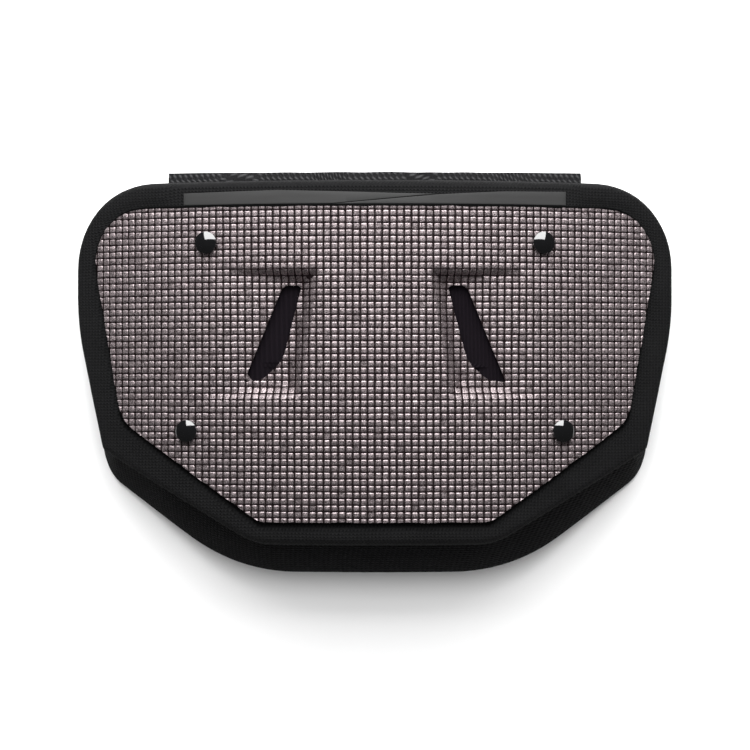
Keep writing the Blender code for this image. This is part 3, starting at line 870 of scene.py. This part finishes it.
def rivets():
    gloss = Finish("polished black rivet", roughness=0.05, coat_weight=1.0, coat_roughness=0.02, coat_ior=1.8)
    dust = gloss.speckle(1.2 * MM, 4.0, 0.6)
    gloss.feed(
        base_color=gloss.blend((0.0025, 0.0025, 0.003), (0.006, 0.006, 0.007), dust),
        roughness=0.05 + dust * 0.07,
    )
    sides = 40
    profile = [
        # share of the radius, share of the height
        (0.97, -0.15), (0.99, 0.0), (1.0, 0.48), (0.985, 0.53), (0.94, 0.573), (0.85, 0.656), (0.73, 0.750),
        (0.6, 0.833), (0.46, 0.903), (0.3, 0.959), (0.15, 0.990), (0.05, 0.999),
    ]
    turn = 2 * math.pi / sides
    rings = [
        [(r * math.cos(turn * k), -r * math.sin(turn * k), h) for k in range(sides)] for r, h in profile
    ]
    head = bpy.data.objects.new("rivet head", lofted("rivet head", rings))
    bpy.context.scene.collection.objects.link(head)
    spots = bpy.data.meshes.new("rivet spots")
    spots.from_pydata([(s * u, v, face_front + 0.2 * MM) for u, v in rivet_places for s in (1, -1)], [], [])
    carrier = bpy.data.objects.new("rivet spots", spots)
    bpy.context.scene.collection.objects.link(carrier)
    tree = Tree("rivet heads", {
        "Geometry": "NodeSocketGeometry", "Head": "NodeSocketObject", "Radius": "NodeSocketFloat",
        "Height": "NodeSocketFloat", "Finish": "NodeSocketMaterial",
    })
    shape = tree.node("GeometryNodeObjectInfo", {}, {"Object": tree.given["Head"]}, "Geometry")
    scale = tree.node("ShaderNodeCombineXYZ", {}, {
        0: tree.given["Radius"], 1: tree.given["Radius"], 2: tree.given["Height"],
    })
    heads = tree.node("GeometryNodeInstanceOnPoints", {}, {
        "Points": tree.given["Geometry"], "Instance": shape, "Scale": scale,
    })
    real = tree.node("GeometryNodeRealizeInstances", {}, {0: heads})
    finished = tree.node("GeometryNodeSetMaterial", {}, {"Geometry": real, "Material": tree.given["Finish"]})
    mesh = tree.mesh(carrier, finished, Head=head, Radius=5.8 * MM, Height=3.3 * MM, Finish=gloss.material)
    bpy.data.objects.remove(head)
    bpy.data.objects.remove(carrier)
    piece = formed_piece("rivet_heads", mesh, gloss)
    sharpened(piece, 18)
    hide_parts("rivet_upper_left", "rivet_upper_right", "rivet_lower_left", "rivet_lower_right")
    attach(piece, "root")


rivets()

# ---
# The webbing is a coarse black polyester band across the pad's back. Only its upper edge shows above the rim. It is
# bar-tacked at its middle and ends, and stands off between them to take a hanging strap on each side.

webbing_half_length = 125.6 * MM
webbing_width = 38 * MM
webbing_thickness = 2.2 * MM
webbing_top = rim_top + 7 * MM


def stand_off(u):
    """How far the webbing stands off the pad at a place along it."""
    inner, outer, ramp, height = 28 * MM, 82 * MM, 13 * MM, 9 * MM
    rise = max(0, min(1, (abs(u) - inner + ramp) / (2 * ramp)))
    fall = max(0, min(1, (outer + ramp - abs(u)) / (2 * ramp)))
    share = min(rise, fall)
    return height * share * share * (3 - 2 * share)


def top_webbing():
    woven = Finish("coarse black webbing", roughness=0.8, specular_ior_level=0.1)
    float_length = 3.5 * MM
    turn = 2 * math.pi / float_length
    twill = (woven.across() * turn + woven.up() * (turn * 0.85)).wave()
    rows = (woven.up() * (turn * 1.35) + woven.speckle(6 * MM) * 1.5).wave()
    fuzz = woven.speckle(0.7 * MM, 3.0, 0.7)
    cords = (twill * 0.65 + rows * 0.45).above(0)
    woven.feed(
        base_color=woven.blend((0.0035, 0.0035, 0.004), (0.050, 0.050, 0.052), cords * 0.75 + (fuzz - 0.4) * 0.9),
        roughness=0.65 + fuzz * 0.3,
        normal=woven.relief(cords + fuzz * 0.3, 0.6 * MM, 0.9),
    )
    section = []
    half_thickness = webbing_thickness / 2
    for step in range(13):
        down = webbing_width * step / 12
        edge = min(down, webbing_width - down)
        section.append((down, half_thickness * min(1, 0.45 + edge / (1.5 * MM))))
    loop = [(down, half) for down, half in section] + [(down, -half) for down, half in reversed(section)]
    rings = []
    stations = 170
    for index in range(stations + 1):
        u = webbing_half_length * (2 * index / stations - 1)
        ring = []
        for down, lift in loop:
            v = webbing_top - down
            wander = 0.25 * MM * noise.noise(Vector((u, 0, 0)) / (16 * MM)) + 0.1 * stand_off(u)
            wander += 1.3 * MM * (u / webbing_half_length) ** 2
            middle = rear_level(v) - 0.3 * MM - half_thickness - stand_off(u)
            ring.append((u, v + wander, middle + lift))
        rings.append(ring)
    mesh = lofted("top_webbing_band", rings)
    piece = formed_piece("top_webbing_band", mesh, woven)
    sharpened(piece, 55)
    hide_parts("top_webbing")
    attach(piece, "root")


top_webbing()

# ---
# The photograph's view: straight down on the crown of the plate as it lies, under a broad soft light from beyond
# its top edge, with a plain pale floor and a faint fill from all round.

camera_distance = 950 * MM
picture_width_at_crown = 387.4 * MM


def studio():
    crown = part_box("textured_face")[1][2]
    camera = bpy.data.cameras.new("camera")
    camera.sensor_width = 36
    camera.lens = camera.sensor_width * camera_distance / picture_width_at_crown
    viewer = bpy.data.objects.new("camera", camera)
    viewer.location = (0.1 * MM, -form_middle, crown + camera_distance)
    bpy.context.scene.collection.objects.link(viewer)
    bpy.context.scene.camera = viewer

    built = bmesh.new()
    bmesh.ops.create_grid(built, x_segments=1, y_segments=1, size=4)
    mesh = bpy.data.meshes.new("floor")
    built.to_mesh(mesh)
    built.free()
    floor = bpy.data.objects.new("floor", mesh)
    floor.location.z = -0.2 * MM
    bpy.context.scene.collection.objects.link(floor)
    pale = Finish("pale floor", base_color=(0.93, 0.93, 0.93, 1), roughness=0.9)
    place = pale.node("ShaderNodeTexCoord", {}, {}, "Object")
    far_off = pale.node("ShaderNodeVectorMath", {"operation": "LENGTH"}, {0: place}, "Value")
    glow = pale.node("ShaderNodeMapRange", {"interpolation_type": "SMOOTHSTEP"}, {"Value": far_off, 1: 0.45, 2: 1.8})
    pale.feed(emission_color=pale.blend((0, 0, 0), (1, 1, 1), glow))
    pale.shader.inputs["Emission Strength"].default_value = 1
    mesh.materials.append(pale.material)

    lights = [
        # name, place, size across, size up, watts
        ("softbox beyond the top edge", (0, 0.48, 0.41), 0.84, 0.58, 10.6),
        ("overhead silk", (0, 0.5, 1.85), 1.5, 1.5, 35),
    ]
    for name, place, width, height, watts in lights:
        lamp = bpy.data.lights.new(name, "AREA")
        lamp.shape = "RECTANGLE"
        lamp.size = width
        lamp.size_y = height
        lamp.energy = watts
        holder = bpy.data.objects.new(name, lamp)
        holder.location = place
        holder.rotation_euler = (Vector((0, 0, 0.03)) - Vector(place)).to_track_quat("-Z", "Y").to_euler()
        bpy.context.scene.collection.objects.link(holder)
    flagged = bpy.data.collections.new("flagged off the silk")
    for name in ("rivet_heads", "textured_face_cells"):
        flagged.objects.link(bpy.data.objects[name])
    for held in flagged.collection_objects:
        held.light_linking.link_state = "EXCLUDE"
    holder.light_linking.receiver_collection = flagged
    world = bpy.data.worlds.new("soft surround")
    world.use_nodes = True
    nodes = world.node_tree.nodes
    path = nodes.new("ShaderNodeLightPath")
    strength = nodes.new("ShaderNodeMapRange")
    strength.inputs["To Min"].default_value = 0.05
    strength.inputs["To Max"].default_value = 1.0
    world.node_tree.links.new(path.outputs["Is Camera Ray"], strength.inputs["Value"])
    world.node_tree.links.new(strength.outputs["Result"], nodes["Background"].inputs["Strength"])
    nodes["Background"].inputs["Color"].default_value = (1, 1, 1, 1)
    bpy.context.scene.world = world
    bpy.context.scene.view_settings.view_transform = "Standard"


studio()
